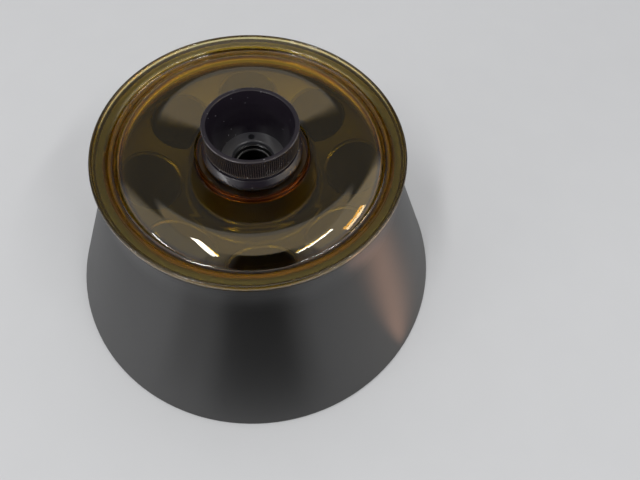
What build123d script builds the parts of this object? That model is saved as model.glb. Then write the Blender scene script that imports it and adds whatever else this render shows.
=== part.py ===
from build123d import *
import math
import os

# A fixed-angle centrifuge rotor with a screw-down transparent lid.
# Millimetres, +Z up, origin on the spin axis in the plane that the rotor stands on.

# Outside of the turned body
base_radius = 101.0
base_chamfer = 1.5
neck_radius = 66.5
neck_length = 13.5
neck_blend_radius = 30.0
rim_height = 97.5
rim_chamfer = 0.6

# Underside of the body
relief_depth = 1.5
foot_land = 11.0
drive_land = 6.0

# Inside of the neck, and the raised hub in its middle
neck_wall = 3.3
neck_lead_in = 0.8
hub_land = 2.3
hub_draft = 1.5
hub_rise = 1.5
hub_fillet = 1.5

# Tube cavities, which run parallel to the cone outside them
cavity_count = 8
cavity_radius = 14.8
cavity_floor = 5.5
mouth_drop = 20.5
mouth_chamfer = 0.8
mouth_land = 0.5
spot_face_reach = 15.0

# Drive hub: a steel core fastened into the body from below
core_shoulder = 3.0
core_fit = 0.02
drive_recess_depth = 8.0
flange_width = 15.0
flange_thickness = 10.0
flange_clearance = 0.2
flange_bottom_chamfer = 0.6
flange_top_chamfer = 1.2
flange_seat_fillet = 0.8
spindle_radius = 8.0
spindle_lead_in = 1.0
tip_hole_radius = 6.2
tip_hole_length = 10.0
stem_wall = 3.0
stem_end_clearance = 0.5
stem_thread_length = 5.0
stem_relief_depth = 0.8
stem_chamfer = 0.8
hub_seal_section = 2.4
hub_seal_drop = 8.5
hub_seal_groove_depth = 2.2
hub_seal_groove_margin = 0.3

# Screws and drive pins, on one circle in the middle of the flange's width
screw_count = 4
screw_radius = 2.5
screw_length = 18.0
screw_head_radius = 4.25
screw_head_height = 5.0
screw_head_clearance = 0.3
screw_head_chamfer = 0.4
screw_floor = 4.0
screw_socket = 4.0
screw_socket_depth = 2.6
screw_hole_spare = 1.5
pin_count = 2
pin_radius = 3.0
pin_reach = 6.0
pin_shank_radius = 2.5
pin_grip = 7.0
pin_chamfer = 0.6

# Tie-down nut that holds the rotor on its spindle, with its washer and retaining ring
nut_radius = 8.7
nut_clearance = 0.3
nut_chamfer = 0.8
nut_thread_radius = 4.25
nut_thread_depth = 20.0
nut_web = 2.5
nut_socket = 10.0
nut_socket_depth = 8.0
nut_pitch = 1.5
nut_turns = 5.0
nut_travel_margin = 0.5
nut_washer_thickness = 1.5
nut_washer_clearance = 0.1
nut_washer_hole_clearance = 0.5
nut_ring_thickness = 1.0
nut_ring_bite = 0.8
nut_ring_reach = 1.3
nut_ring_clearance = 0.1
nut_ring_lip = 0.9
nut_ring_gap = 3.0

# Lid: rim, flange and groove
lid_overhang = 1.4
lid_rim_height = 3.7
lid_lip_width = 1.5
lid_flange_height = 2.3
lid_flange_fall = 0.4
lid_flange_width = 4.7
lid_groove_drop = 1.8
lid_edge_chamfer = 0.4

# Lid: dome, dished middle, spigot and boss
dome_crest_inset = 15.2
dome_crest_rise = 5.3
dome_round = 17.0
dish_slope = 12.0
lid_thickness = 4.0
spigot_clearance = 0.4
spigot_depth = 8.0
recess_depth = 1.9
recess_fillet = 1.0
recess_clearance = 3.0
boss_wall = 7.3
boss_fillet = 2.0

# Lid seal, in a groove round the spigot
lid_seal_section = 2.6
lid_seal_drop = 5.1
lid_seal_groove_height = 3.1
lid_seal_gap = 0.05
lid_seal_bite = 0.06

# Knob: outside
knob_step = 3.2
knob_height = 15.9
knob_lip_height = 1.0
knurl_depth = 0.2
knurl_length = 9.4
knob_groove_depth = 1.0
knob_groove_height = 2.0
knob_flange_width = 1.7
knob_flange_height = 1.5
knob_edge_chamfer = 0.3
knob_washer_thickness = 0.8
knob_washer_margin = 0.4

# Knob: funnel and shank
funnel_lip_width = 1.2
funnel_depth = 22.4
shank_wall = 2.5
shank_clearance = 0.1
shank_length = 17.5

# Threaded insert at the bottom of the funnel
insert_wall = 2.52
insert_floor = 2.5
insert_hole_clearance = 0.1
insert_thread_clearance = 0.08
insert_chamfer = 0.5
spanner_hole_count = 2
spanner_hole_radius = 1.5
knob_pitch = 1.5
knob_turns = 3.5
knob_travel_margin = 0.3

# Seal, retaining ring and retaining washer round the shank
knob_seal_section = 2.0
knob_seal_drop = 3.6
knob_seal_groove_height = 2.4
knob_seal_gap = 0.05
knob_seal_bite = 0.06
knob_ring_offset = 1.6
knob_ring_thickness = 1.2
knob_ring_width = 3.4
knob_ring_groove_depth = 1.1
knob_ring_clearance = 0.1
knob_ring_play = 0.05
knob_ring_gap = 5.0
retaining_washer_thickness = 0.8
retaining_washer_width = 3.3

# Radii round the axis that follow, from the tie-down nut outwards
chamber_radius = nut_radius + nut_clearance
stem_radius = chamber_radius + stem_wall
core_radius = stem_radius + core_shoulder
flange_radius = core_radius + flange_width
fastener_circle_radius = core_radius + flange_width / 2
insert_hole_radius = chamber_radius + insert_hole_clearance
insert_bore_radius = stem_radius + insert_thread_clearance
insert_radius = insert_bore_radius + insert_wall
shank_radius = insert_radius + shank_wall
lid_bore_radius = shank_radius + shank_clearance
knob_radius = shank_radius + knob_step
knob_flange_radius = knob_radius + knob_flange_width
recess_radius = knob_flange_radius + recess_clearance

# Body sizes that follow
cone_top_height = rim_height - neck_length
cone_slope = math.atan2(base_radius - neck_radius, cone_top_height - base_chamfer)
neck_bore_radius = neck_radius - neck_wall
mouth_half_width = (cavity_radius + mouth_chamfer) * math.cos(cone_slope)
mouth_circle_radius = neck_bore_radius - mouth_land - mouth_half_width
mouth_height = rim_height - mouth_drop
cavity_straight = (mouth_height - cavity_floor - cavity_radius) / math.cos(cone_slope)
hub_foot_radius = mouth_circle_radius - mouth_half_width - hub_land
hub_top_height = mouth_height + hub_rise

# Lid sizes that follow: the dome's round runs into a dish that falls to the knob's recess
lid_radius = neck_radius + lid_overhang
lid_groove_radius = lid_radius - lid_lip_width - lid_flange_width
spigot_radius = neck_bore_radius - spigot_clearance
spigot_bottom_height = rim_height - spigot_depth
dome_centre_radius = lid_groove_radius - dome_crest_inset
dome_centre_height = rim_height + dome_crest_rise - dome_round
dish_fall = math.tan(math.radians(dish_slope))
dish_start_radius = dome_centre_radius - dome_round * math.sin(math.radians(dish_slope))
dish_start_height = dome_centre_height + dome_round * math.cos(math.radians(dish_slope))
recess_edge_height = dish_start_height - (dish_start_radius - recess_radius) * dish_fall
lid_seat_height = recess_edge_height - recess_depth

# Knob heights that follow
knob_bottom_height = lid_seat_height + knob_washer_thickness
knob_top_height = knob_bottom_height + knob_height
knob_rise = knob_turns * knob_pitch
funnel_floor_height = knob_top_height - funnel_depth
shank_bottom_height = knob_bottom_height - shank_length
knob_ring_height = shank_bottom_height + knob_ring_offset
retaining_washer_height = knob_ring_height + knob_ring_thickness
retaining_washer_top = retaining_washer_height + retaining_washer_thickness
boss_bottom_height = retaining_washer_top + knob_rise + knob_travel_margin

# Drive hub and tie-down heights that follow, down from the insert's floor
flange_top_height = drive_recess_depth + flange_thickness
screw_seat_height = flange_top_height - screw_floor
stem_top_height = funnel_floor_height - insert_floor - stem_end_clearance
nut_ring_height = stem_top_height - nut_ring_lip - nut_ring_clearance - nut_ring_thickness
nut_rise = nut_turns * nut_pitch
nut_top_height = nut_ring_height - nut_travel_margin - nut_rise
nut_bottom_height = nut_top_height - nut_socket_depth - nut_web - nut_thread_depth
chamber_floor_height = nut_bottom_height - nut_washer_thickness
spindle_top_height = chamber_floor_height - tip_hole_length

# A cylinder placed by its bottom face, and one placed by its top face
stand = (Align.CENTER, Align.CENTER, Align.MIN)
hang = (Align.CENTER, Align.CENTER, Align.MAX)


def turned(corners):
    """A solid of revolution about Z, from (radius, height, corner rounding) in order."""
    points = [(radius, height) for radius, height, rounding in corners]
    roundings = [rounding for radius, height, rounding in corners]
    outline = FilletPolyline(*points, radius=roundings, close=True)
    return revolve(make_face(Plane.XZ * outline), Axis.Z)


def corner_at(section, point):
    """The corner of a flat section that is nearest to a point."""
    return min(section.vertices(), key=lambda v: math.hypot(v.X - point[0], v.Y - point[1]))


def bevelled(section, points, size):
    """A flat section with small chamfers at the corners nearest to the points."""
    for point in points:
        section = chamfer(corner_at(section, point), size)
    return section


def disc(radius, bottom, top):
    """A plain disc about Z."""
    return Pos(0, 0, bottom) * Cylinder(radius, top - bottom, align=stand)


def ring(inner_radius, outer_radius, bottom, top):
    """A plain ring about Z."""
    return disc(outer_radius, bottom, top) - disc(inner_radius, bottom, top)


def o_ring(centre_radius, section, height):
    """A round-section seal about Z."""
    return Pos(0, 0, height) * Torus(centre_radius, section / 2)


def gapped(whole, gap):
    """A retaining ring: a whole ring opened by a gap on its -X side."""
    box = whole.bounding_box()
    opening = Box(box.max.X, gap, box.size.Z)
    return whole - Pos(-box.max.X / 2, 0, box.center().Z) * opening


def on_circle(radius, count, shift=0.0):
    """Places evenly round a circle about Z, each turned to face outwards."""
    return PolarLocations(radius, count, start_angle=shift)


def hexagon(across_flats, depth):
    """A hexagon socket's tool, up from the socket's floor at Z = 0."""
    return extrude(RegularPolygon(across_flats / 2, 6, major_radius=False), depth)


def dish_height(radius):
    """Height of the body's dish, which is square to the cavities at their mouths."""
    return mouth_height + (radius - mouth_circle_radius) * math.tan(cone_slope)


# Rotor body
def tube_cavity():
    """The tool for one cavity, hanging from the middle of its mouth at the origin."""
    bore = Cylinder(cavity_radius, cavity_straight, align=hang)
    end = Pos(0, 0, -cavity_straight) * Sphere(cavity_radius)
    mouth_radius = cavity_radius + mouth_chamfer
    edge = Cone(cavity_radius, mouth_radius, mouth_chamfer, align=hang)
    spot_face = Cylinder(mouth_radius, spot_face_reach, align=stand)
    return bore + end + edge + spot_face


def make_rotor_body():
    hub_radius = hub_foot_radius - hub_draft
    outside = turned(
        [
            (core_radius, 0, 0),
            (base_radius - base_chamfer, 0, 0),
            (base_radius, base_chamfer, 0),
            (neck_radius, cone_top_height, neck_blend_radius),
            (neck_radius, rim_height - rim_chamfer, 0),
            (neck_radius - rim_chamfer, rim_height, 0),
            (neck_bore_radius + neck_lead_in, rim_height, 0),
            (neck_bore_radius, rim_height - neck_lead_in, 0),
            (neck_bore_radius, dish_height(neck_bore_radius), 0),
            (hub_foot_radius, dish_height(hub_foot_radius), hub_fillet),
            (hub_radius, hub_top_height, hub_fillet),
            (core_radius, hub_top_height, 0),
        ]
    )
    relief_inner_radius = flange_radius + drive_land
    relief_outer_radius = base_radius - foot_land
    relief = turned(
        [
            (relief_inner_radius, 0, 0),
            (relief_outer_radius, 0, 0),
            (relief_outer_radius, relief_depth, 0),
            (relief_inner_radius, relief_depth, 0),
        ]
    )
    flange_seat = turned(
        [
            (0, 0, 0),
            (flange_radius, 0, 0),
            (flange_radius, flange_top_height, flange_seat_fillet),
            (0, flange_top_height, 0),
        ]
    )
    body = outside - relief - flange_seat
    tilted = Rot(0, -math.degrees(cone_slope), 0) * tube_cavity()
    for place in on_circle(mouth_circle_radius, cavity_count):
        body -= Pos(0, 0, mouth_height) * place * tilted
    tapped = Cylinder(screw_radius, screw_length + screw_hole_spare, align=stand)
    for place in screw_places():
        body -= Pos(0, 0, screw_seat_height) * place * tapped
    return body


# Drive hub with its screws, pins and seal
def screw_places():
    return on_circle(fastener_circle_radius, screw_count, 180 / screw_count)


def pin_places():
    return on_circle(fastener_circle_radius, pin_count)


def make_drive_hub():
    rim_radius = flange_radius - flange_clearance
    relief_radius = stem_radius - stem_relief_depth
    thread_bottom = stem_top_height - stem_thread_length
    outside = turned(
        [
            (0, drive_recess_depth, 0),
            (rim_radius - flange_bottom_chamfer, drive_recess_depth, 0),
            (rim_radius, drive_recess_depth + flange_bottom_chamfer, 0),
            (rim_radius, flange_top_height - flange_top_chamfer, 0),
            (rim_radius - flange_top_chamfer, flange_top_height, 0),
            (core_radius - core_fit, flange_top_height, 0),
            (core_radius - core_fit, hub_top_height, 0),
            (relief_radius, hub_top_height, 0),
            (relief_radius, thread_bottom, 0),
            (stem_radius, thread_bottom, 0),
            (stem_radius, stem_top_height - stem_chamfer, 0),
            (stem_radius - stem_chamfer, stem_top_height, 0),
            (0, stem_top_height, 0),
        ]
    )
    inside = turned(
        [
            (0, drive_recess_depth, 0),
            (spindle_radius + spindle_lead_in, drive_recess_depth, 0),
            (spindle_radius, drive_recess_depth + spindle_lead_in, 0),
            (spindle_radius, spindle_top_height, 0),
            (tip_hole_radius, spindle_top_height, 0),
            (tip_hole_radius, chamber_floor_height, 0),
            (chamber_radius, chamber_floor_height, 0),
            (chamber_radius, stem_top_height, 0),
            (0, stem_top_height, 0),
        ]
    )
    ring_groove = disc(
        chamber_radius + nut_ring_bite + nut_ring_clearance,
        nut_ring_height,
        nut_ring_height + nut_ring_thickness + nut_ring_clearance,
    )
    seal_height = hub_top_height - hub_seal_drop
    seal_groove = ring(
        core_radius - hub_seal_groove_depth,
        core_radius + hub_seal_groove_depth,
        seal_height - hub_seal_section / 2 - hub_seal_groove_margin,
        seal_height + hub_seal_section / 2 + hub_seal_groove_margin,
    )
    hub = outside - inside - ring_groove - seal_groove
    head_seat = Cylinder(
        screw_head_radius + screw_head_clearance, flange_thickness - screw_floor, align=stand
    )
    shank_hole = Cylinder(screw_radius, flange_thickness, align=stand)
    for place in screw_places():
        hub -= Pos(0, 0, drive_recess_depth) * place * (head_seat + shank_hole)
    pin_hole = Cylinder(pin_shank_radius, pin_grip, align=stand)
    for place in pin_places():
        hub -= Pos(0, 0, drive_recess_depth) * place * pin_hole
    return hub


def make_hub_screws():
    head = Cylinder(screw_head_radius, screw_head_height, align=hang)
    head = chamfer(head.faces().sort_by(Axis.Z)[0].edges(), screw_head_chamfer)
    socket = Pos(0, 0, -screw_head_height) * hexagon(screw_socket, screw_socket_depth)
    shank = Cylinder(screw_radius, screw_length, align=stand)
    screw = head + shank - socket
    return [Pos(0, 0, screw_seat_height) * place * screw for place in screw_places()]


def make_drive_pins():
    pin = Cylinder(pin_radius, pin_reach, align=hang)
    pin = chamfer(pin.faces().sort_by(Axis.Z)[0].edges(), pin_chamfer)
    pin += Cylinder(pin_shank_radius, pin_grip, align=stand)
    return [Pos(0, 0, drive_recess_depth) * place * pin for place in pin_places()]


def make_hub_seal():
    centre = core_radius - hub_seal_groove_depth / 2
    return o_ring(centre, hub_seal_section, hub_top_height - hub_seal_drop)


# Tie-down nut with its washer and retaining ring
def make_tie_down_nut():
    thread_top = nut_bottom_height + nut_thread_depth
    nut = turned(
        [
            (nut_thread_radius, nut_bottom_height, 0),
            (nut_radius, nut_bottom_height, 0),
            (nut_radius, nut_top_height - nut_chamfer, 0),
            (nut_radius - nut_chamfer, nut_top_height, 0),
            (0, nut_top_height, 0),
            (0, thread_top, 0),
            (nut_thread_radius, thread_top, 0),
        ]
    )
    return nut - Pos(0, 0, nut_top_height - nut_socket_depth) * hexagon(nut_socket, nut_socket_depth)


def make_tie_down_washer():
    return ring(
        tip_hole_radius + nut_washer_hole_clearance,
        nut_radius - nut_washer_clearance,
        chamber_floor_height,
        nut_bottom_height,
    )


def make_tie_down_retaining_ring():
    whole = ring(
        chamber_radius - nut_ring_reach,
        chamber_radius + nut_ring_bite,
        nut_ring_height,
        nut_ring_height + nut_ring_thickness,
    )
    return gapped(whole, nut_ring_gap)


# Lid and its seal
def on_crest(offset):
    """The top of the dome's round, offset inwards."""
    return dome_centre_radius, dome_centre_height + dome_round - offset


def on_flank(offset, height):
    """The point at a height on the outer side of the dome's round, offset inwards."""
    climb = height - dome_centre_height
    reach = math.sqrt((dome_round - offset) ** 2 - climb**2)
    return dome_centre_radius + reach, height


def on_dish(offset, radius):
    """The point at a radius on the dish's underside, at a depth square to its slope."""
    drop = offset / math.cos(math.radians(dish_slope))
    return radius, dish_start_height - (dish_start_radius - radius) * dish_fall - drop


def make_lid():
    top = rim_height + lid_rim_height
    flange = rim_height + lid_flange_height
    lip_radius = lid_radius - lid_lip_width
    boss_radius = lid_bore_radius + boss_wall
    dome_foot = on_flank(0, rim_height - lid_groove_drop)
    ceiling_foot = on_flank(lid_thickness, spigot_bottom_height)
    dish_start = (dish_start_radius, dish_start_height)
    ceiling_start_radius = dish_start_radius + lid_thickness * math.sin(math.radians(dish_slope))
    ceiling_start = on_dish(lid_thickness, ceiling_start_radius)
    boss_root = on_dish(lid_thickness, boss_radius)
    flange_edge = (lid_groove_radius, flange - lid_flange_fall)
    recess_edge = (recess_radius, recess_edge_height)
    recess_corner = (recess_radius, lid_seat_height)
    rim = Polyline(
        (spigot_radius, spigot_bottom_height),
        (spigot_radius, rim_height),
        (lid_radius, rim_height),
        (lid_radius, top),
        (lip_radius, top),
        (lip_radius, flange),
        flange_edge,
        dome_foot,
    )
    dome = ThreePointArc(dome_foot, on_crest(0), dish_start)
    middle = Polyline(
        dish_start,
        recess_edge,
        recess_corner,
        (lid_bore_radius, lid_seat_height),
        (lid_bore_radius, boss_bottom_height),
        (boss_radius, boss_bottom_height),
        boss_root,
        ceiling_start,
    )
    ceiling = ThreePointArc(ceiling_start, on_crest(lid_thickness), ceiling_foot)
    foot = Line(ceiling_foot, (spigot_radius, spigot_bottom_height))
    section = make_face([rim, dome, middle, ceiling, foot])
    edges = [(lid_radius, top), (lip_radius, top), flange_edge, recess_edge]
    section = bevelled(section, edges, lid_edge_chamfer)
    section = fillet(corner_at(section, recess_corner), recess_fillet)
    section = fillet(corner_at(section, boss_root), boss_fillet)
    lid = revolve(Plane.XZ * section, Axis.Z)
    seal_height = rim_height - lid_seal_drop
    spigot_groove = ring(
        neck_bore_radius - lid_seal_gap - lid_seal_section + lid_seal_bite,
        neck_bore_radius,
        seal_height - lid_seal_groove_height / 2,
        seal_height + lid_seal_groove_height / 2,
    )
    knob_seal_height = lid_seat_height - knob_seal_drop
    bore_groove = ring(
        shank_radius,
        shank_radius + knob_seal_gap + knob_seal_section - knob_seal_bite,
        knob_seal_height - knob_seal_groove_height / 2,
        knob_seal_height + knob_seal_groove_height / 2,
    )
    return lid - spigot_groove - bore_groove


def make_lid_seal():
    centre = neck_bore_radius - lid_seal_gap - lid_seal_section / 2
    return o_ring(centre, lid_seal_section, rim_height - lid_seal_drop)


# Knob and its threaded insert
def make_lid_knob():
    knurl_top = knob_top_height - knob_lip_height
    knurl_bottom = knurl_top - knurl_length
    knurl_radius = knob_radius - knurl_depth
    groove_radius = knob_radius - knob_groove_depth
    groove_bottom = knurl_bottom - knob_groove_height
    flange_shoulder = knob_bottom_height + knob_flange_height
    outline = Polyline(
        (shank_radius, shank_bottom_height),
        (shank_radius, knob_bottom_height),
        (knob_flange_radius, knob_bottom_height),
        (knob_flange_radius, flange_shoulder),
        (knob_radius, groove_bottom),
        (groove_radius, groove_bottom),
        (groove_radius, knurl_bottom),
        (knurl_radius, knurl_bottom),
        (knurl_radius, knurl_top),
        (knob_radius, knurl_top),
        (knob_radius, knob_top_height),
        (knob_radius - funnel_lip_width, knob_top_height),
        (insert_radius, funnel_floor_height),
        (insert_radius, shank_bottom_height),
        close=True,
    )
    edges = [
        (knob_flange_radius, knob_bottom_height),
        (knob_flange_radius, flange_shoulder),
        (knob_radius, groove_bottom),
        (knob_radius, knob_top_height),
        (knob_radius - funnel_lip_width, knob_top_height),
    ]
    section = bevelled(make_face(outline), edges, knob_edge_chamfer)
    knob = revolve(Plane.XZ * section, Axis.Z)
    ring_groove = ring(
        shank_radius - knob_ring_groove_depth,
        knob_radius,
        knob_ring_height - knob_ring_play,
        knob_ring_height + knob_ring_thickness + knob_ring_play,
    )
    return knob - ring_groove


def make_knob_insert():
    floor_bottom = funnel_floor_height - insert_floor
    insert = turned(
        [
            (insert_bore_radius + insert_chamfer, shank_bottom_height, 0),
            (insert_radius, shank_bottom_height, 0),
            (insert_radius, funnel_floor_height, 0),
            (insert_hole_radius + insert_chamfer, funnel_floor_height, 0),
            (insert_hole_radius, funnel_floor_height - insert_chamfer, 0),
            (insert_hole_radius, floor_bottom, 0),
            (insert_bore_radius, floor_bottom, 0),
            (insert_bore_radius, shank_bottom_height + insert_chamfer, 0),
        ]
    )
    spanner_circle_radius = (insert_hole_radius + insert_radius) / 2
    hole = Cylinder(spanner_hole_radius, insert_floor, align=hang)
    for place in on_circle(spanner_circle_radius, spanner_hole_count, 90):
        insert -= Pos(0, 0, funnel_floor_height) * place * hole
    return insert


# Washers, seal and retaining ring of the knob
def make_knob_washer():
    return ring(
        lid_bore_radius,
        knob_flange_radius - knob_washer_margin,
        lid_seat_height,
        knob_bottom_height,
    )


def make_knob_seal():
    centre = shank_radius + knob_seal_gap + knob_seal_section / 2
    return o_ring(centre, knob_seal_section, lid_seat_height - knob_seal_drop)


def make_knob_retaining_ring():
    inner = shank_radius - knob_ring_groove_depth + knob_ring_clearance
    whole = ring(
        inner, inner + knob_ring_width, knob_ring_height, knob_ring_height + knob_ring_thickness
    )
    return gapped(whole, knob_ring_gap)


def make_knob_retaining_washer():
    return ring(
        lid_bore_radius,
        lid_bore_radius + retaining_washer_width,
        retaining_washer_height,
        retaining_washer_top,
    )


pieces = {
    "rotor_body": make_rotor_body(),
    "drive_hub": make_drive_hub(),
    "hub_screws": make_hub_screws(),
    "drive_pins": make_drive_pins(),
    "hub_seal": make_hub_seal(),
    "tie_down_nut": make_tie_down_nut(),
    "tie_down_washer": make_tie_down_washer(),
    "tie_down_retaining_ring": make_tie_down_retaining_ring(),
    "lid": make_lid(),
    "lid_seal": make_lid_seal(),
    "knob_washer": make_knob_washer(),
    "knob_seal": make_knob_seal(),
    "lid_knob": make_lid_knob(),
    "knob_insert": make_knob_insert(),
    "knob_retaining_ring": make_knob_retaining_ring(),
    "knob_retaining_washer": make_knob_retaining_washer(),
}

os.makedirs("parts", exist_ok=True)
for name, shape in pieces.items():
    whole = Compound(children=shape) if isinstance(shape, list) else shape
    export_step(whole, f"parts/{name}.step")
    print(name, round(whole.volume), "mm3")
print("mouths on a circle of radius", round(mouth_circle_radius, 4), "tilted", math.degrees(cone_slope))
print("straight cavity wall", round(cavity_straight, 3), "knob rise", knob_rise, "nut rise", nut_rise)
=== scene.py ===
import math

import bmesh
import bpy
from mathutils import Matrix, Vector


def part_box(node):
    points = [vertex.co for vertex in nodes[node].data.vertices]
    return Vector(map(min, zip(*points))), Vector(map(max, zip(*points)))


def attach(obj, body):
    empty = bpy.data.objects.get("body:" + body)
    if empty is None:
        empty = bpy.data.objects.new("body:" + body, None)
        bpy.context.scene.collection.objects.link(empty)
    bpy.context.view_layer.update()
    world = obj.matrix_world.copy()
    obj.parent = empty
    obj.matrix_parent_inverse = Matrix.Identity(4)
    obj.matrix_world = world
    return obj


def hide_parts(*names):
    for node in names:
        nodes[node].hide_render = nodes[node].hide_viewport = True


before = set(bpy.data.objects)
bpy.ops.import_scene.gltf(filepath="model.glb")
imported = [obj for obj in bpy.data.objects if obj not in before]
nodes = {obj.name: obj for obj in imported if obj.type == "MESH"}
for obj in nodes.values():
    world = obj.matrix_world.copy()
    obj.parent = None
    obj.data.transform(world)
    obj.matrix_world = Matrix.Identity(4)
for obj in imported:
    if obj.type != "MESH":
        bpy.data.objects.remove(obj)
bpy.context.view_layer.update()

# The looks of a fixed-angle centrifuge rotor with a screw-down transparent lid.
# Metres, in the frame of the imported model: +Z up, the spin axis at X = Y = 0.
mm = 0.001

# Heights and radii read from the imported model
rim_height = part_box("rotor_body")[1].z
lid_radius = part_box("lid")[1].x
lid_crest_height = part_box("lid")[1].z
lid_seat_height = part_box("knob_washer")[0].z
knob_bottom_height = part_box("knob_washer")[1].z
knob_flange_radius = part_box("lid_knob")[1].x
knob_top_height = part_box("lid_knob")[1].z
shank_bottom_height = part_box("lid_knob")[0].z
insert_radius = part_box("knob_insert")[1].x
insert_top_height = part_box("knob_insert")[1].z
flange_bottom_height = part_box("drive_hub")[0].z
flange_rim_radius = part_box("drive_hub")[1].x
stem_top_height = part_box("drive_hub")[1].z
washer_bottom_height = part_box("tie_down_washer")[0].z
nut_ring_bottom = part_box("tie_down_retaining_ring")[0].z
nut_ring_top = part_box("tie_down_retaining_ring")[1].z
hub_seal_bottom, hub_seal_top = (corner.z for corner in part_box("hub_seal"))
lid_seal_bottom, lid_seal_top = (corner.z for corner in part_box("lid_seal"))
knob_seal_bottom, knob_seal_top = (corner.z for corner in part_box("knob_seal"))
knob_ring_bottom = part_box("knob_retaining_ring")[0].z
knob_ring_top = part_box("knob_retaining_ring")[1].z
boss_gap = 5.55 * mm
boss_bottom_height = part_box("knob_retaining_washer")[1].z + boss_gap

# Lid section
neck_radius = lid_radius - 1.4 * mm
neck_bore_radius = neck_radius - 3.3 * mm
spigot_radius = neck_bore_radius - 0.4 * mm
spigot_bottom_height = rim_height - 8.0 * mm
lid_rim_top = rim_height + 3.7 * mm
lid_lip_width = 1.5 * mm
lid_flange_top = rim_height + 2.3 * mm
lid_flange_fall = 0.4 * mm
lid_groove_radius = lid_radius - 6.2 * mm
lid_groove_bottom = rim_height - 1.8 * mm
dome_round = 17.0 * mm
dome_centre_radius = lid_groove_radius - 15.2 * mm
dome_centre_height = lid_crest_height - dome_round
dish_slope = math.radians(15.0)
lid_thickness = 4.0 * mm
recess_radius = knob_flange_radius + 3.0 * mm
recess_round = 1.0 * mm
knob_step = 3.2 * mm
knob_radius = knob_flange_radius - 1.7 * mm
shank_radius = knob_radius - knob_step
lid_bore_radius = shank_radius + 0.1 * mm
boss_radius = lid_bore_radius + 7.3 * mm
boss_round = 6.0 * mm
moulded_edge = 0.3 * mm
lip_round = 0.65 * mm
underside_inset = 0.7 * mm
flange_round = 1.2 * mm
air_gap = 0.03 * mm
groove_round = 1.6 * mm
groove_turn = 10.0
seal_groove_slack = 0.25 * mm
spigot_turned_width = 3.4 * mm
lid_seal_floor = neck_bore_radius - 2.59 * mm
knob_seal_floor = shank_radius + 1.99 * mm

# Knob section
knurl_ribs = 132
knurl_depth = 0.45 * mm
knurl_crest_radius = knob_radius - 0.06 * mm
knurl_top = knob_top_height - 1.0 * mm
knurl_bottom = knurl_top - 9.4 * mm
knurl_lead = 0.35 * mm
knob_groove_radius = knob_radius - 1.0 * mm
knob_groove_bottom = knurl_bottom - 2.0 * mm
flange_shoulder = knob_bottom_height + 1.5 * mm
funnel_lip_width = 1.9 * mm
turned_edge = 0.25 * mm
fine_edge = 0.12 * mm
knob_ring_groove_radius = shank_radius - 1.1 * mm
knob_ring_play = 0.05 * mm

# Stem, insert and drive hub sections
thread_pitch = 1.5 * mm
thread_depth = 0.8 * mm
chamber_radius = 9.0 * mm
nut_ring_bore = chamber_radius - 1.3 * mm
stem_radius = chamber_radius + 3.0 * mm
stem_relief_radius = stem_radius - 0.8 * mm
stem_thread_length = 5.0 * mm
core_radius = stem_radius + 3.0 * mm
hub_top_height = 78.5 * mm
flange_top_height = flange_bottom_height + 10.0 * mm
insert_bore_radius = stem_radius + 0.08 * mm
insert_hole_radius = chamber_radius + 0.1 * mm
insert_floor = 2.5 * mm
insert_edge = 0.5 * mm
spanner_hole_radius = 1.5 * mm
tip_hole_radius = 6.2 * mm
tip_hole_length = 10.0 * mm
spindle_radius = 8.0 * mm
spindle_lead_in = 1.0 * mm
fastener_circle_radius = core_radius + 7.5 * mm
stem_edge = 0.8 * mm
core_play = 0.02 * mm
hub_seal_groove_margin = 0.3 * mm
hub_seal_groove_depth = 2.2 * mm
nut_ring_groove_radius = chamber_radius + 0.9 * mm
nut_ring_play = 0.1 * mm
flange_bottom_edge = 0.6 * mm
flange_top_edge = 1.2 * mm
screw_head_radius = 4.55 * mm
screw_seat_depth = 4.0 * mm
screw_hole_radius = 2.5 * mm
pin_hole_radius = 2.5 * mm
pin_hole_depth = 7.0 * mm
drill_over = 1.0 * mm

# Fineness of the meshes
lid_segments = 256
thread_segments = 128
drill_segments = 48
segments_per_rib = 4
dome_steps = 36
corner_steps = 4
grip_steps = 4
insert_thread_steps = 72
stem_thread_steps = 48
crease_angle = math.radians(40)
thread_steepness = 1.6
thread_flat = 0.25
tiny = 1e-6


def arc(centre_radius, centre_height, size, start, end, steps):
    """Outline points on an arc, from one angle in degrees to another."""
    points = []
    for i in range(steps + 1):
        angle = math.radians(start + (end - start) * i / steps)
        radius = centre_radius + size * math.cos(angle)
        points.append((radius, centre_height + size * math.sin(angle), 0))
    return points


def rounded(corners):
    """The points of a closed outline from (radius, height, rounding) corners."""
    points = []
    for i, (radius, height, rounding) in enumerate(corners):
        here = Vector((radius, height))
        if rounding == 0:
            points.append(here)
            continue
        to_last = (Vector(corners[i - 1][:2]) - here).normalized()
        to_next = (Vector(corners[(i + 1) % len(corners)][:2]) - here).normalized()
        half = to_last.angle(to_next) / 2
        middle = here + (to_last + to_next).normalized() * rounding / math.sin(half)
        start = here + to_last * rounding / math.tan(half) - middle
        turn = start.angle_signed(here + to_next * rounding / math.tan(half) - middle)
        for k in range(corner_steps + 1):
            points.append(middle + Matrix.Rotation(-turn * k / corner_steps, 2) @ start)
    return points


def no_relief(radius, height, angle):
    """A plain turned surface."""
    return radius


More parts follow.
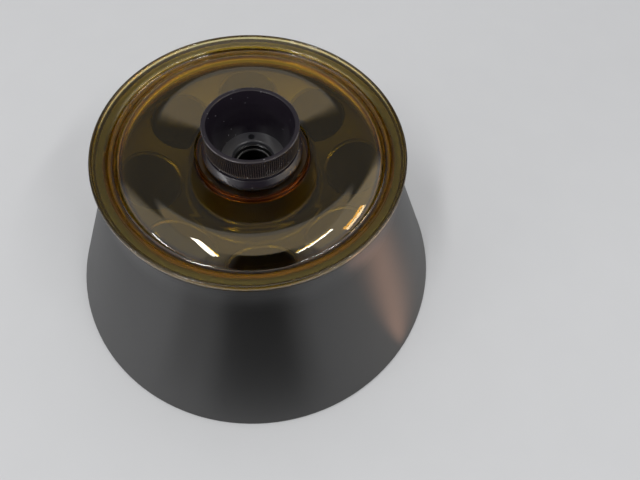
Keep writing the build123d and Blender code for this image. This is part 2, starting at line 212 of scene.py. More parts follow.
def lathe(name, outline, segments, relief=no_relief):
    """A closed solid turned about Z. relief gives a point's own radius, for knurls and threads."""
    mesh = bmesh.new()
    rings = []
    for point in outline:
        if point[0] < tiny:
            rings.append([mesh.verts.new((0, 0, point[1]))] * segments)
            continue
        turns = []
        for k in range(segments):
            angle = 2 * math.pi * k / segments
            radius = relief(point[0], point[1], angle)
            turns.append(mesh.verts.new((radius * math.cos(angle), radius * math.sin(angle), point[1])))
        rings.append(turns)
    for i, ring in enumerate(rings):
        following = rings[(i + 1) % len(rings)]
        for k in range(segments):
            after = (k + 1) % segments
            corners = list(dict.fromkeys([ring[k], ring[after], following[after], following[k]]))
            if len(corners) > 2:
                mesh.faces.new(corners)
    bmesh.ops.recalc_face_normals(mesh, faces=mesh.faces)
    data = bpy.data.meshes.new(name)
    mesh.to_mesh(data)
    mesh.free()
    piece = bpy.data.objects.new(name, data)
    bpy.context.scene.collection.objects.link(piece)
    shade(piece)
    return piece


def shade(piece):
    """Smooth shading, with creases where faces meet at more than the crease angle."""
    for polygon in piece.data.polygons:
        polygon.use_smooth = True
    piece.data.set_sharp_from_angle(angle=crease_angle)


def evenly(start, end, count):
    """Heights evenly from start to end, without the two ends."""
    return [start + (end - start) * i / count for i in range(1, count)]


def cut(piece, tools):
    """Cuts closed tools out of a piece, and deletes them."""
    for tool in tools:
        modifier = piece.modifiers.new("cut", "BOOLEAN")
        modifier.operation = "DIFFERENCE"
        modifier.solver = "EXACT"
        modifier.object = tool
    evaluated = piece.evaluated_get(bpy.context.evaluated_depsgraph_get())
    data = bpy.data.meshes.new_from_object(evaluated)
    piece.modifiers.clear()
    piece.data = data
    piece.data.name = piece.name
    for tool in tools:
        bpy.data.objects.remove(tool)
    shade(piece)


def drill(radius, bottom, top, x, y):
    """The tool for a straight hole."""
    tool = lathe("drill", [(0, bottom), (radius, bottom), (radius, top), (0, top)], drill_segments)
    tool.location = (x, y, 0)
    return tool


def thread(crest_radius, bottom, top, inward):
    """Relief for a helical thread between two heights, cut into a bore or a stem."""

    def relief(radius, height, angle):
        if not bottom - tiny <= height <= top + tiny or abs(radius - crest_radius) > thread_depth:
            return radius
        phase = (height / thread_pitch - angle / (2 * math.pi)) % 1
        depth = thread_depth * min(1, max(0, thread_steepness * abs(2 * phase - 1) - thread_flat))
        fade = min(1, (height - bottom) / thread_pitch, (top - height) / thread_pitch * 2)
        return radius - inward * depth * max(0, fade)

    return relief


# Lid
def make_lid():
    """The lid: rim, groove, dome, dish, recess, boss and spigot in one section."""
    flank = math.degrees(math.asin((lid_groove_bottom - dome_centre_height) / dome_round))
    foot = arc(dome_centre_radius, dome_centre_height, dome_round, flank, flank, 1)[0]
    inner_round = dome_round - lid_thickness
    inner_flank = math.degrees(math.asin((spigot_bottom_height - dome_centre_height) / inner_round))
    crown = 90 + math.degrees(dish_slope)
    start = arc(dome_centre_radius, dome_centre_height, dome_round, crown, crown, 1)[0]
    fall = math.tan(dish_slope)
    recess_edge = start[1] - (start[0] - recess_radius) * fall
    boss_root = start[1] - (start[0] - boss_radius) * fall - lid_thickness / math.cos(dish_slope)
    lip_radius = lid_radius - lid_lip_width
    corners = [
        (spigot_radius, spigot_bottom_height, moulded_edge),
        (spigot_radius, lid_seal_bottom - seal_groove_slack, 0),
        (lid_seal_floor, lid_seal_bottom - seal_groove_slack, moulded_edge),
        (lid_seal_floor, lid_seal_top + seal_groove_slack, moulded_edge),
        (spigot_radius, lid_seal_top + seal_groove_slack, 0),
        (spigot_radius, rim_height + air_gap, moulded_edge),
        (neck_radius - underside_inset, rim_height + air_gap, 0),
        (lid_radius, rim_height + air_gap, moulded_edge),
        (lid_radius, lid_rim_top, lip_round),
        (lip_radius, lid_rim_top, lip_round),
        (lip_radius, lid_flange_top, moulded_edge),
        (lid_groove_radius, lid_flange_top - lid_flange_fall, flange_round),
        (foot[0], foot[1], groove_round),
        *arc(dome_centre_radius, dome_centre_height, dome_round, flank + groove_turn, crown, dome_steps),
        (recess_radius, recess_edge, moulded_edge),
        (recess_radius, lid_seat_height - air_gap, recess_round),
        (lid_bore_radius, lid_seat_height - air_gap, moulded_edge),
        (lid_bore_radius, knob_seal_top + seal_groove_slack, 0),
        (knob_seal_floor, knob_seal_top + seal_groove_slack, moulded_edge),
        (knob_seal_floor, knob_seal_bottom - seal_groove_slack, moulded_edge),
        (lid_bore_radius, knob_seal_bottom - seal_groove_slack, 0),
        (lid_bore_radius, boss_bottom_height, moulded_edge),
        (boss_radius, boss_bottom_height, moulded_edge),
        (boss_radius, boss_root, boss_round),
        *arc(dome_centre_radius, dome_centre_height, inner_round, crown, inner_flank, dome_steps),
    ]
    lid = lathe("lid_clear", rounded(corners), lid_segments)
    paint(lid, amber_plastic())
    # The faces under the overhanging edge get a second, opaque dark brown material: painted shade for the
    # dark seen through the lid's edge.
    lid.data.materials.append(amber_underside_painted_shade())
    for polygon in lid.data.polygons:
        x, y, z = polygon.center
        overhangs = math.hypot(x, y) > neck_radius - underside_inset
        if overhangs and z < rim_height + 2 * air_gap:
            polygon.material_index = 1
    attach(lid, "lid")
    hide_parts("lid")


# Knob
def knurl(radius, height, angle):
    """Straight ribs round the knob's grip, run out at both ends."""
    if abs(radius - knurl_crest_radius) > tiny:
        return radius
    run_out = min(1, (knurl_top - height) / knurl_lead, (height - knurl_bottom) / knurl_lead)
    phase = (angle / (2 * math.pi) * knurl_ribs) % 1
    return radius - knurl_depth * max(0, run_out) * abs(2 * phase - 1)


def make_knob():
    """The knob with its funnel, its knurled band, its flange and its shank."""
    grip_bottom = knurl_bottom + knurl_lead
    grip_top = knurl_top - knurl_lead
    grip = [grip_bottom, *evenly(grip_bottom, grip_top, grip_steps), grip_top]
    corners = [
        (shank_radius, shank_bottom_height, turned_edge),
        (shank_radius, knob_ring_bottom - knob_ring_play, fine_edge),
        (knob_ring_groove_radius, knob_ring_bottom - knob_ring_play, fine_edge),
        (knob_ring_groove_radius, knob_ring_top + knob_ring_play, fine_edge),
        (shank_radius, knob_ring_top + knob_ring_play, fine_edge),
        (shank_radius, knob_bottom_height, 0),
        (knob_flange_radius, knob_bottom_height, turned_edge),
        (knob_flange_radius, flange_shoulder, turned_edge),
        (knob_radius, knob_groove_bottom, turned_edge),
        (knob_groove_radius, knob_groove_bottom, fine_edge),
        (knob_groove_radius, knurl_bottom, fine_edge),
        (knurl_crest_radius, knurl_bottom, 0),
        *[(knurl_crest_radius, height, 0) for height in grip],
        (knurl_crest_radius, knurl_top, 0),
        (knob_radius, knurl_top + fine_edge, fine_edge / 2),
        (knob_radius, knob_top_height, turned_edge),
        (knob_radius - funnel_lip_width, knob_top_height, turned_edge),
        (insert_radius, insert_top_height, 0),
        (insert_radius, shank_bottom_height, 0),
    ]
    knob = lathe("lid_knob_knurled", rounded(corners), knurl_ribs * segments_per_rib, knurl)
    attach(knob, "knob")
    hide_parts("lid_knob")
    return knob


def make_insert():
    """The threaded bush in the funnel, with a hole in its floor and two spanner holes."""
    thread_bottom = shank_bottom_height + insert_edge
    floor_bottom = insert_top_height - insert_floor
    turns = evenly(floor_bottom, thread_bottom, insert_thread_steps)
    outline = [
        (insert_bore_radius + insert_edge, shank_bottom_height, 0),
        (insert_radius, shank_bottom_height, 0),
        (insert_radius, insert_top_height, 0),
        (insert_hole_radius + insert_edge, insert_top_height, fine_edge),
        (insert_hole_radius, insert_top_height - insert_edge, fine_edge),
        (insert_hole_radius, floor_bottom, 0),
        (insert_bore_radius, floor_bottom, 0),
        *[(insert_bore_radius, height, 0) for height in turns],
        (insert_bore_radius, thread_bottom, 0),
    ]
    relief = thread(insert_bore_radius, thread_bottom, floor_bottom, -1)
    insert = lathe("knob_insert_threaded", rounded(outline), thread_segments, relief)
    circle = (insert_hole_radius + insert_radius) / 2
    bottom = floor_bottom - drill_over
    top = insert_top_height + drill_over
    cut(insert, [drill(spanner_hole_radius, bottom, top, 0, side * circle) for side in (-1, 1)])
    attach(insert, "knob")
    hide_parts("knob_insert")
    return insert


# Drive hub
def make_drive_hub():
    """The flange, core and threaded stem, with the chamber of the tie-down nut."""
    thread_bottom = stem_top_height - stem_thread_length
    thread_top = stem_top_height - stem_edge
    core = core_radius - core_play
    seal_floor = core_radius - hub_seal_groove_depth
    ring_groove_top = nut_ring_top + nut_ring_play
    spindle_top = washer_bottom_height - tip_hole_length
    outline = [
        (spindle_radius + spindle_lead_in, flange_bottom_height, fine_edge),
        (flange_rim_radius - flange_bottom_edge, flange_bottom_height, 0),
        (flange_rim_radius, flange_bottom_height + flange_bottom_edge, 0),
        (flange_rim_radius, flange_top_height - flange_top_edge, 0),
        (flange_rim_radius - flange_top_edge, flange_top_height, 0),
        (core, flange_top_height, 0),
        (core, hub_seal_bottom - hub_seal_groove_margin, 0),
        (seal_floor, hub_seal_bottom - hub_seal_groove_margin, fine_edge),
        (seal_floor, hub_seal_top + hub_seal_groove_margin, fine_edge),
        (core, hub_seal_top + hub_seal_groove_margin, 0),
        (core, hub_top_height, fine_edge),
        (stem_relief_radius, hub_top_height, fine_edge),
        (stem_relief_radius, thread_bottom, 0),
        *[(stem_radius, height, 0) for height in evenly(thread_bottom, thread_top, stem_thread_steps)],
        (stem_radius, thread_top, 0),
        (stem_radius - stem_edge, stem_top_height, fine_edge),
        (chamber_radius, stem_top_height, turned_edge),
        (chamber_radius, ring_groove_top, 0),
        (nut_ring_groove_radius, ring_groove_top, 0),
        (nut_ring_groove_radius, nut_ring_bottom, 0),
        (chamber_radius, nut_ring_bottom, 0),
        (chamber_radius, washer_bottom_height, fine_edge),
        (tip_hole_radius, washer_bottom_height, fine_edge),
        (tip_hole_radius, spindle_top, 0),
        (spindle_radius, spindle_top, fine_edge),
        (spindle_radius, flange_bottom_height + spindle_lead_in, fine_edge),
    ]
    relief = thread(stem_radius, thread_bottom, thread_top, 1)
    hub = lathe("drive_hub_threaded", rounded(outline), thread_segments, relief)
    below = flange_bottom_height - drill_over
    tools = []
    for degrees in (45, 135, 225, 315):
        x = fastener_circle_radius * math.cos(math.radians(degrees))
        y = fastener_circle_radius * math.sin(math.radians(degrees))
        tools.append(drill(screw_head_radius, below, flange_top_height - screw_seat_depth, x, y))
        tools.append(drill(screw_hole_radius, below, flange_top_height + drill_over, x, y))
    for x in (-fastener_circle_radius, fastener_circle_radius):
        tools.append(drill(pin_hole_radius, below, flange_bottom_height + pin_hole_depth, x, 0))
    cut(hub, tools)
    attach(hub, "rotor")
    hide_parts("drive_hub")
    return hub


# Materials
# Where the painted highlight on the knob's lip edge begins and ends, in from the corner
lip_highlight_from = 0.42 * mm
lip_highlight_to = 0.2 * mm
bare_depth = 0.5 * mm
bright_edge = 0.2 * mm
paint_margin = 0.1 * mm


def feed(tree, target, value):
    """Links an output to an input, or sets a number on it."""
    if isinstance(value, bpy.types.NodeSocket):
        tree.links.new(value, target)
    else:
        target.default_value = value


def calculate(tree, operation, a, b=0.0):
    """The output of a maths node for outputs or numbers."""
    node = tree.nodes.new("ShaderNodeMath")
    node.operation = operation
    feed(tree, node.inputs[0], a)
    feed(tree, node.inputs[1], b)
    return node.outputs[0]


class Shader:
    """A node material under construction, with its output already joined to a Principled shader."""

    def __init__(self, name, colour, roughness, metallic=0.0, ior=1.5):
        self.material = bpy.data.materials.new(name)
        self.material.use_nodes = True
        self.tree = self.material.node_tree
        self.surface = self.tree.nodes["Principled BSDF"]
        self.output = self.tree.nodes["Material Output"]
        self.set("Base Color", (*colour, 1))
        self.set("Roughness", roughness)
        self.set("Metallic", metallic)
        self.set("IOR", ior)
        self.place = self.add("TexCoord").outputs["Object"]

    def add(self, kind, **settings):
        node = self.tree.nodes.new("ShaderNode" + kind)
        for key, value in settings.items():
            setattr(node, key, value)
        return node

    def set(self, socket, value):
        self.surface.inputs[socket].default_value = value

    def link(self, output, target):
        self.tree.links.new(output, target)

    def math(self, operation, a, b=0.0):
        return calculate(self.tree, operation, a, b)

    def between(self, value, low, high):
        """1 where a value lies between two limits, else 0."""
        above = self.math("GREATER_THAN", value, low)
        return self.math("MULTIPLY", above, self.math("LESS_THAN", value, high))

    def ramp(self, value, low, high):
        """Rises from 0 at low to 1 at high."""
        node = self.add("MapRange")
        self.link(value, node.inputs["Value"])
        node.inputs["From Min"].default_value = low
        node.inputs["From Max"].default_value = high
        return node.outputs[0]

    def range(self, value, low, high):
        """Maps 0 to 1 onto low to high."""
        node = self.add("MapRange")
        self.link(value, node.inputs["Value"])
        node.inputs["To Min"].default_value = low
        node.inputs["To Max"].default_value = high
        return node.outputs[0]

    def polar(self):
        """The distance from the spin axis, and the height."""
        split = self.add("SeparateXYZ")
        self.link(self.place, split.inputs[0])
        x, y, z = split.outputs
        squares = self.math("ADD", self.math("MULTIPLY", x, x), self.math("MULTIPLY", y, y))
        return self.math("SQRT", squares), z

    def turned(self, along, around):
        """Noise that follows turning: fine along radius and height, slow round the axis."""
        split = self.add("SeparateXYZ")
        self.link(self.place, split.inputs[0])
        x, y = split.outputs[:2]
        radius, z = self.polar()
        vector = self.add("CombineXYZ")
        self.link(self.math("MULTIPLY", radius, along), vector.inputs[0])
        self.link(self.math("MULTIPLY", self.math("DIVIDE", x, radius), around), vector.inputs[1])
        self.link(self.math("MULTIPLY", self.math("DIVIDE", y, radius), around), vector.inputs[2])
        noise = self.add("TexNoise", noise_dimensions="4D")
        noise.inputs["Scale"].default_value = 1.0
        noise.inputs["Detail"].default_value = 2.0
        self.link(vector.outputs[0], noise.inputs["Vector"])
        self.link(self.math("MULTIPLY", z, along), noise.inputs["W"])
        return noise.outputs["Fac"]

    def noise(self, scale):
        """Noise with features about 1 / scale metres across."""
        node = self.add("TexNoise")
        node.inputs["Scale"].default_value = scale
        node.inputs["Detail"].default_value = 3.0
        self.link(self.place, node.inputs["Vector"])
        return node.outputs["Fac"]

    def specks(self, scale, size, share):
        """1 inside small round specks in a share of cells about 1 / scale metres across, else 0."""
        cells = self.add("TexVoronoi")
        cells.inputs["Scale"].default_value = scale
        self.link(self.place, cells.inputs["Vector"])
        chance = self.add("SeparateColor")
        self.link(cells.outputs["Color"], chance.inputs[0])
        pick = self.math("GREATER_THAN", chance.outputs[0], 1 - share)
        dot = self.math("LESS_THAN", cells.outputs["Distance"], size)
        return self.math("MULTIPLY", pick, dot)

    def colour_between(self, factor, first, second):
        mix = self.add("Mix", data_type="RGBA")
        self.link(factor, mix.inputs["Factor"])
        mix.inputs["A"].default_value = (*first, 1)
        mix.inputs["B"].default_value = (*second, 1)
        self.link(mix.outputs["Result"], self.surface.inputs["Base Color"])

    def lay_over(self, mask, colour):
        """Lays a colour over the base colour where a mask is 1."""
        below = self.surface.inputs["Base Color"].links[0].from_socket
        mix = self.add("Mix", data_type="RGBA")
        self.link(mask, mix.inputs["Factor"])
        self.link(below, mix.inputs["A"])
        mix.inputs["B"].default_value = (*colour, 1)
        self.link(mix.outputs["Result"], self.surface.inputs["Base Color"])

    def roughness_between(self, factor, low, high):
        self.link(self.range(factor, low, high), self.surface.inputs["Roughness"])

    def bump(self, height, distance):
        node = self.add("Bump")
        node.inputs["Distance"].default_value = distance
        self.link(height, node.inputs["Height"])
        self.link(node.outputs["Normal"], self.surface.inputs["Normal"])

    def brushed(self, amount, rotation):
        """Stretches highlights, with the grain running round the axis."""
        tangent = self.add("Tangent", direction_type="RADIAL", axis="Z")
        self.link(tangent.outputs[0], self.surface.inputs["Tangent"])
        self.set("Anisotropic", amount)
        self.set("Anisotropic Rotation", rotation)


def anodised_body():
    """Black anodised aluminium with fine turning marks."""
    shader = Shader("anodised_body", (0.008, 0.0078, 0.008), 0.38, ior=1.75)
    marks = shader.turned(2500.0, 1.5)
    cloud = shader.noise(30.0)
    mixed = shader.math("ADD", shader.math("MULTIPLY", marks, 0.6), shader.math("MULTIPLY", cloud, 0.4))
    shader.colour_between(mixed, (0.005, 0.0048, 0.005), (0.012, 0.0115, 0.012))
    shader.roughness_between(mixed, 0.32, 0.42)
    shader.bump(marks, 0.00001)
    shader.brushed(0.75, 0.25)
    return shader.material


def anodised_knob():
    """Glossier black anodised aluminium: rib crests lighter, partly from wear and partly as a painted
    highlight, a painted highlight on the lip's edge, fine dust, and a bare shank.
    """
    shader = Shader("anodised_knob", (0.01, 0.01, 0.013), 0.2, ior=1.55)
    marks = shader.turned(3000.0, 2.0)
    shader.colour_between(marks, (0.011, 0.008, 0.012), (0.02, 0.016, 0.023))
    shader.roughness_between(marks, 0.18, 0.26)
    shader.bump(marks, 0.000006)
    radius, height = shader.polar()
    # Lighter rib crests on the grip: partly wear, partly a painted highlight for the glint along each
    # rib.
    grip = shader.between(height, knurl_bottom, knurl_top)
    crest = shader.ramp(radius, knurl_crest_radius - knurl_depth / 2, knurl_crest_radius)
    shader.lay_over(shader.math("MULTIPLY", grip, crest), (0.07, 0.057, 0.047))
    # A painted highlight along the lip's outer edge, broken into patches by noise.
    corner = knob_radius + knob_top_height
    edge = shader.ramp(shader.math("ADD", radius, height), corner - lip_highlight_from, corner - lip_highlight_to)
    lip_highlight_patches = shader.ramp(shader.noise(120.0), 0.4, 0.65)
    shader.lay_over(shader.math("MULTIPLY", edge, lip_highlight_patches), (0.12, 0.11, 0.12))
    shader.lay_over(shader.specks(700.0, 0.12, 0.12), (0.45, 0.45, 0.45))
    shank = shader.between(radius, shank_radius - bare_depth, shank_radius + paint_margin)
    sealed = shader.between(height, boss_bottom_height, knob_bottom_height)
    bare = shader.math("MULTIPLY", shank, sealed)
    shader.lay_over(bare, (0.8, 0.79, 0.77))
    shader.link(bare, shader.surface.inputs["Metallic"])
    return shader.material


def anodised_insert():
    """Satin dark anodised bush."""
    shader = Shader("anodised_insert", (0.03, 0.03, 0.035), 0.3, ior=1.75)
    marks = shader.turned(4000.0, 2.0)
    shader.colour_between(marks, (0.022, 0.022, 0.027), (0.04, 0.04, 0.046))
    shader.roughness_between(marks, 0.26, 0.36)
    shader.bump(marks, 0.000008)
    return shader.material


def steel(name, colour, roughness):
    """Turned steel, as a shader that others add to."""
    shader = Shader(name, colour, roughness, metallic=1.0)
    marks = shader.turned(5000.0, 2.5)
    darker = tuple(c * 0.8 for c in colour)
    shader.colour_between(marks, darker, colour)
    shader.roughness_between(marks, roughness * 0.8, roughness * 1.3)
    shader.bump(marks, 0.000008)
    return shader


def drive_steel():
    """Grey steel, near black on every face inside the radius of the tie-down nut's chamber."""
    shader = steel("hub_metal", (0.13, 0.13, 0.135), 0.3)
    radius = shader.polar()[0]
    chamber = shader.math("LESS_THAN", radius, chamber_radius + paint_margin)
    shader.lay_over(chamber, (0.012, 0.012, 0.013))
    return shader.material


def spring_steel():
    """Blackened spring steel, bright on the inner edge of the tie-down nut's ring."""
    shader = steel("spring_steel", (0.03, 0.03, 0.032), 0.3)
    radius = shader.polar()[0]
    edge = shader.math("LESS_THAN", radius, nut_ring_bore + bright_edge)
    shader.lay_over(edge, (0.7, 0.7, 0.72))
    return shader.material


def black_oxide():
    """Black-oxide screw steel."""
    shader = Shader("black_oxide", (0.03, 0.03, 0.032), 0.35, metallic=0.6)
    grain = shader.noise(900.0)
    shader.colour_between(grain, (0.02, 0.02, 0.022), (0.05, 0.048, 0.047))
    shader.roughness_between(grain, 0.28, 0.45)
    shader.bump(grain, 0.00001)
    return shader.material


def seal_rubber():
    """Dull black rubber."""
    shader = Shader("seal_rubber", (0.02, 0.02, 0.02), 0.55)
    grain = shader.noise(2500.0)
    shader.colour_between(grain, (0.014, 0.014, 0.014), (0.03, 0.03, 0.03))
    shader.roughness_between(grain, 0.5, 0.65)
    shader.bump(grain, 0.00001)
    return shader.material


def seal_silicone(name, dark, light):
    """Silicone rubber between two colours."""
    shader = Shader(name, light, 0.5)
    grain = shader.noise(2500.0)
    shader.colour_between(grain, dark, light)
    shader.roughness_between(grain, 0.45, 0.6)
    shader.bump(grain, 0.00001)
    return shader.material


def slide_plastic():
    """Dark slide plastic."""
    shader = Shader("slide_plastic", (0.02, 0.02, 0.02), 0.4)
    grain = shader.noise(1200.0)
    shader.colour_between(grain, (0.015, 0.015, 0.015), (0.03, 0.03, 0.03))
    shader.roughness_between(grain, 0.35, 0.5)
    shader.bump(grain, 0.00001)
    return shader.material


def amber_plastic():
    """Clear amber plastic, satin on its spigot: the colour comes from the depth that light crosses."""
    shader = Shader("amber_lid", (1, 1, 1), 0.02, ior=1.63)
    shader.set("Transmission Weight", 1.0)
    radius, height = shader.polar()
    outer = shader.math("GREATER_THAN", radius, spigot_radius - spigot_turned_width)
    below = shader.math("LESS_THAN", height, rim_height + 5 * air_gap)
    shader.roughness_between(shader.math("MULTIPLY", outer, below), 0.01, 0.45)
    depth = shader.add("VolumeAbsorption")
    depth.inputs["Color"].default_value = (0.936, 0.829, 0.114, 1)
    depth.inputs["Density"].default_value = 500.0
    shader.link(depth.outputs[0], shader.output.inputs["Volume"])
    return shader.material


def amber_underside_painted_shade():
    """The unpolished face under the lid's edge, opaque dark brown: painted shade for the dark that shows
    through the plastic there.
    """
    shader = Shader("amber_underside_painted_shade", (0.03, 0.022, 0.012), 0.5)
    grain = shader.noise(800.0)
    shader.colour_between(grain, (0.022, 0.016, 0.009), (0.04, 0.03, 0.017))
    shader.roughness_between(grain, 0.45, 0.6)
    return shader.material


def paint(piece, material):
    """One material all over a piece or a CAD node."""
    piece.data.materials.clear()
    piece.data.materials.append(material)


def dress():
    """Gives every piece and every CAD node that shows its material."""
    steel_bright = steel("steel", (0.62, 0.61, 0.6), 0.22).material
    spring = spring_steel()
    slide = slide_plastic()
    make_lid()
    paint(make_knob(), anodised_knob())
    paint(make_insert(), anodised_insert())
    oxide = black_oxide()
    paint(make_drive_hub(), drive_steel())
    paint(nodes["rotor_body"], anodised_body())
    for name in ("hub_screws", "tie_down_nut"):
        paint(nodes[name], oxide)
    for name in ("drive_pins", "tie_down_washer"):
        paint(nodes[name], steel_bright)
    for name in ("tie_down_retaining_ring", "knob_retaining_ring"):
        paint(nodes[name], spring)
    paint(nodes["hub_seal"], seal_rubber())
    paint(nodes["lid_seal"], seal_silicone("buff_silicone", (0.34, 0.26, 0.18), (0.42, 0.33, 0.24)))
    paint(nodes["knob_seal"], seal_silicone("white_silicone", (0.74, 0.74, 0.7), (0.86, 0.86, 0.82)))
    for name in ("knob_washer", "knob_retaining_washer"):
        paint(nodes[name], slide)


# Stage, light and camera
backdrop_colour = (0.6, 0.605, 0.615)
floor_half_width = 4.0
lid_centre = Vector((0, 0, 0.1))
lamp_aim = Vector((0, 0, 0.08))
strip_distance = 1.5
card_steps = 24
camera_place = (0, -0.14129, 0.27476)
camera_angles = (61.541, 14.261, 7.758)
camera_lens = 28.34


def make_floor():
    """A plain pale floor without gloss, so that it shows no card or lamp."""
    half = floor_half_width
    mesh = bpy.data.meshes.new("floor")
    corners = [(-half, -half, 0), (half, -half, 0), (half, half, 0), (-half, half, 0)]
    mesh.from_pydata(corners, [], [(0, 1, 2, 3)])
    floor = bpy.data.objects.new("floor", mesh)
    bpy.context.scene.collection.objects.link(floor)
    shader = Shader("floor", backdrop_colour, 0.6)
    shader.set("Specular IOR Level", 0.0)
    grain = shader.noise(40.0)
    shader.colour_between(grain, (0.645, 0.65, 0.655), (0.665, 0.67, 0.675))
    paint(floor, shader.material)


def make_world():
    """Soft room light, with a plain pale backdrop wherever the room itself would be seen."""
    world = bpy.data.worlds.new("studio")
    world.use_nodes = True
    tree = world.node_tree
    room = tree.nodes["Background"]
    room.inputs["Color"].default_value = (0.5, 0.5, 0.51, 1)
    backdrop = tree.nodes.new("ShaderNodeBackground")
    backdrop.inputs["Color"].default_value = (*backdrop_colour, 1)
    path = tree.nodes.new("ShaderNodeLightPath")
    seen = path.outputs["Is Camera Ray"]
    for kind in ("Is Glossy Ray", "Is Transmission Ray"):
        seen = calculate(tree, "MAXIMUM", seen, path.outputs[kind])
    mix = tree.nodes.new("ShaderNodeMixShader")
    tree.links.new(seen, mix.inputs["Fac"])
    tree.links.new(room.outputs[0], mix.inputs[1])
    tree.links.new(backdrop.outputs[0], mix.inputs[2])
    tree.links.new(mix.outputs[0], tree.nodes["World Output"].inputs["Surface"])
    bpy.context.scene.world = world


def lamp(name, place, size, radiance):
    """A rectangular lamp of a given brightness per area, facing the object."""
    data = bpy.data.lights.new(name, "AREA")
    data.shape = "RECTANGLE"
    data.size, data.size_y = size
    data.energy = radiance * math.pi * size[0] * size[1]
    light = bpy.data.objects.new(name, data)
    light.location = place
    light.rotation_euler = (lamp_aim - Vector(place)).to_track_quat("-Z", "Y").to_euler()
    light.visible_camera = False
    bpy.context.scene.collection.objects.link(light)
    return light


def strip(name, first, last, width, radiance):
    """A strip lamp whose ends lie in two directions from the lid."""
    ends = [lid_centre + Vector(way).normalized() * strip_distance for way in (first, last)]
    middle = (ends[0] + ends[1]) / 2
    light = lamp(name, middle, ((ends[1] - ends[0]).length, width), radiance)
    out = (lid_centre - middle).normalized()
    along = (ends[1] - ends[0]).normalized()
    across = along.cross(out)
    turn = Matrix((along, across, -out)).transposed()
    light.rotation_euler = turn.to_euler()
    return light


def make_lights():
    """A soft lamp overhead that no reflection shows, and strips that give the highlights."""
    overhead = lamp("overhead", (0.1, 0.6, 1.9), (1.4, 1.2), 0.85)
    overhead.visible_glossy = False
    overhead.visible_transmission = False
    strip("left_strip", (-0.41, -0.05, 0.91), (-0.42, -0.555, 0.72), 0.11, 20)
    strip("right_strip", (0.58, -0.23, 0.78), (0.34, -0.62, 0.70), 0.07, 24)
    strip("side_strip", (-0.92, -0.21, 0.34), (-0.78, -0.57, 0.27), 0.06, 16)
    warm_strip = strip("warm_strip", (0.81, -0.38, 0.44), (0.90, -0.06, 0.43), 0.16, 14)
    warm_strip.data.color = (1.0, 0.72, 0.4)
    warm_strip.visible_diffuse = False


def wall(azimuths, elevations, distance):
    """Places on a sphere round the lid, between angles in degrees, from +Y towards +X and up."""

    def place(u, v):
        azimuth = math.radians(azimuths[0] + (azimuths[1] - azimuths[0]) * u)
        elevation = math.radians(elevations[0] + (elevations[1] - elevations[0]) * v)
        level = distance * math.cos(elevation)
        height = lid_centre.z + distance * math.sin(elevation)
        return (level * math.sin(azimuth), level * math.cos(azimuth), height)

    return place


def ground(azimuths, radii, centre=(0, 0), height=0.002):
    """Places just above the floor, between two angles and two distances from a centre."""

    def place(u, v):
        azimuth = math.radians(azimuths[0] + (azimuths[1] - azimuths[0]) * u)
        radius = radii[0] + (radii[1] - radii[0]) * v
        x, y = centre
        return (x + radius * math.sin(azimuth), y + radius * math.cos(azimuth), height)

    return place


def card(name, place, colour, soft):
    """A studio card seen only in reflections. soft is the share of it over which its edges fade."""
    steps = card_steps
    mesh = bpy.data.meshes.new(name)
    corners = [place(i / steps, j / steps) for i in range(steps + 1) for j in range(steps + 1)]
    faces = []
    for i in range(steps):
        for j in range(steps):
            first = i * (steps + 1) + j
            faces.append((first, first + steps + 1, first + steps + 2, first + 1))
    mesh.from_pydata(corners, [], faces)
    fade = mesh.attributes.new("fade", "FLOAT", "POINT")
    for index in range(len(corners)):
        amount = 1.0
        for share, edge in zip(divmod(index, steps + 1), soft):
            inside = min(share, steps - share) / steps
            amount *= min(1.0, inside / edge) if edge else 1.0
        fade.data[index].value = amount
    piece = bpy.data.objects.new(name, mesh)
    bpy.context.scene.collection.objects.link(piece)
    material = bpy.data.materials.new(name)
    material.use_nodes = True
    fade_card(material.node_tree, colour)
    paint(piece, material)
    for ray in ("camera", "diffuse", "shadow"):
        setattr(piece, "visible_" + ray, False)


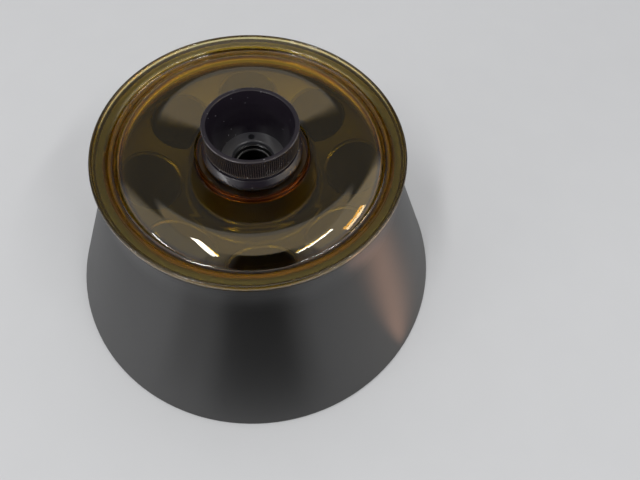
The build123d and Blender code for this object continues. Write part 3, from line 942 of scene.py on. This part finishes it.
def fade_card(tree, colour):
    """Nodes that glow in one colour after a bounce, as far as the card hasn't faded."""
    tree.nodes.remove(tree.nodes["Principled BSDF"])
    glow = tree.nodes.new("ShaderNodeEmission")
    glow.inputs["Color"].default_value = (*colour, 1)
    clear = tree.nodes.new("ShaderNodeBsdfTransparent")
    amount = tree.nodes.new("ShaderNodeAttribute")
    amount.attribute_name = "fade"
    path = tree.nodes.new("ShaderNodeLightPath")
    bounces = calculate(tree, "ADD", path.outputs["Glossy Depth"], path.outputs["Diffuse Depth"])
    shown = calculate(tree, "GREATER_THAN", bounces, 0.5)
    mix = tree.nodes.new("ShaderNodeMixShader")
    tree.links.new(calculate(tree, "MULTIPLY", shown, amount.outputs["Fac"]), mix.inputs["Fac"])
    tree.links.new(clear.outputs[0], mix.inputs[1])
    tree.links.new(glow.outputs[0], mix.inputs[2])
    tree.links.new(mix.outputs[0], tree.nodes["Material Output"].inputs["Surface"])


def make_cards():
    """A pale ceiling, a dim room, pale sides, dark and grey cards in front, and a warm fan."""
    card("ceiling_card", wall((-180, 180), (57, 90), 1.75), (1.0, 0.93, 0.81), (0.0, 0.04))
    card("back_card", wall((-72, 66), (-2.5, 58), 1.9), (0.2, 0.2, 0.2), (0.03, 0.04))
    card("left_card", wall((-140, -74), (8, 60), 1.6), (0.95, 0.95, 0.93), (0.04, 0.05))
    card("right_card", wall((66, 140), (8, 60), 1.6), (1.35, 1.28, 1.15), (0.02, 0.03))
    card("front_card", wall((146, 212), (-5, 60), 0.9), (0.015, 0.015, 0.015), (0.2, 0.03))
    card("front_floor_card", ground((164, 206), (0.1, 0.9)), (0.01, 0.01, 0.01), (0.19, 0.09))
    shade = ground((158, 226), (0.119, 0.9), height=0.001)
    card("shade_card", shade, (0.36, 0.36, 0.36), (0.06, 0.01))
    fan = ground((69, 107), (0.008, 0.3), (0.068, -0.071))
    card("warm_card", fan, (2.6, 1.65, 1.28), (0.33, 0.01))


def make_camera():
    """The camera at the photo's angle."""
    data = bpy.data.cameras.new("camera")
    data.sensor_width = 36.0
    data.lens = camera_lens
    data.clip_start = 0.01
    data.clip_end = 50
    camera = bpy.data.objects.new("camera", data)
    pitch, yaw, roll = (math.radians(angle) for angle in camera_angles)
    forward = Vector((math.sin(yaw) * math.cos(pitch), math.cos(yaw) * math.cos(pitch), -math.sin(pitch)))
    right = Vector((math.cos(yaw), -math.sin(yaw), 0))
    up = right.cross(forward)
    rolled_right = math.cos(roll) * right + math.sin(roll) * up
    rolled_up = -math.sin(roll) * right + math.cos(roll) * up
    turn = Matrix((rolled_right, rolled_up, -forward)).transposed()
    camera.matrix_world = Matrix.Translation(camera_place) @ turn.to_4x4()
    bpy.context.scene.collection.objects.link(camera)
    bpy.context.scene.camera = camera


make_camera()
dress()
make_floor()
make_world()
make_lights()
make_cards()
bpy.context.scene.view_settings.view_transform = "Standard"
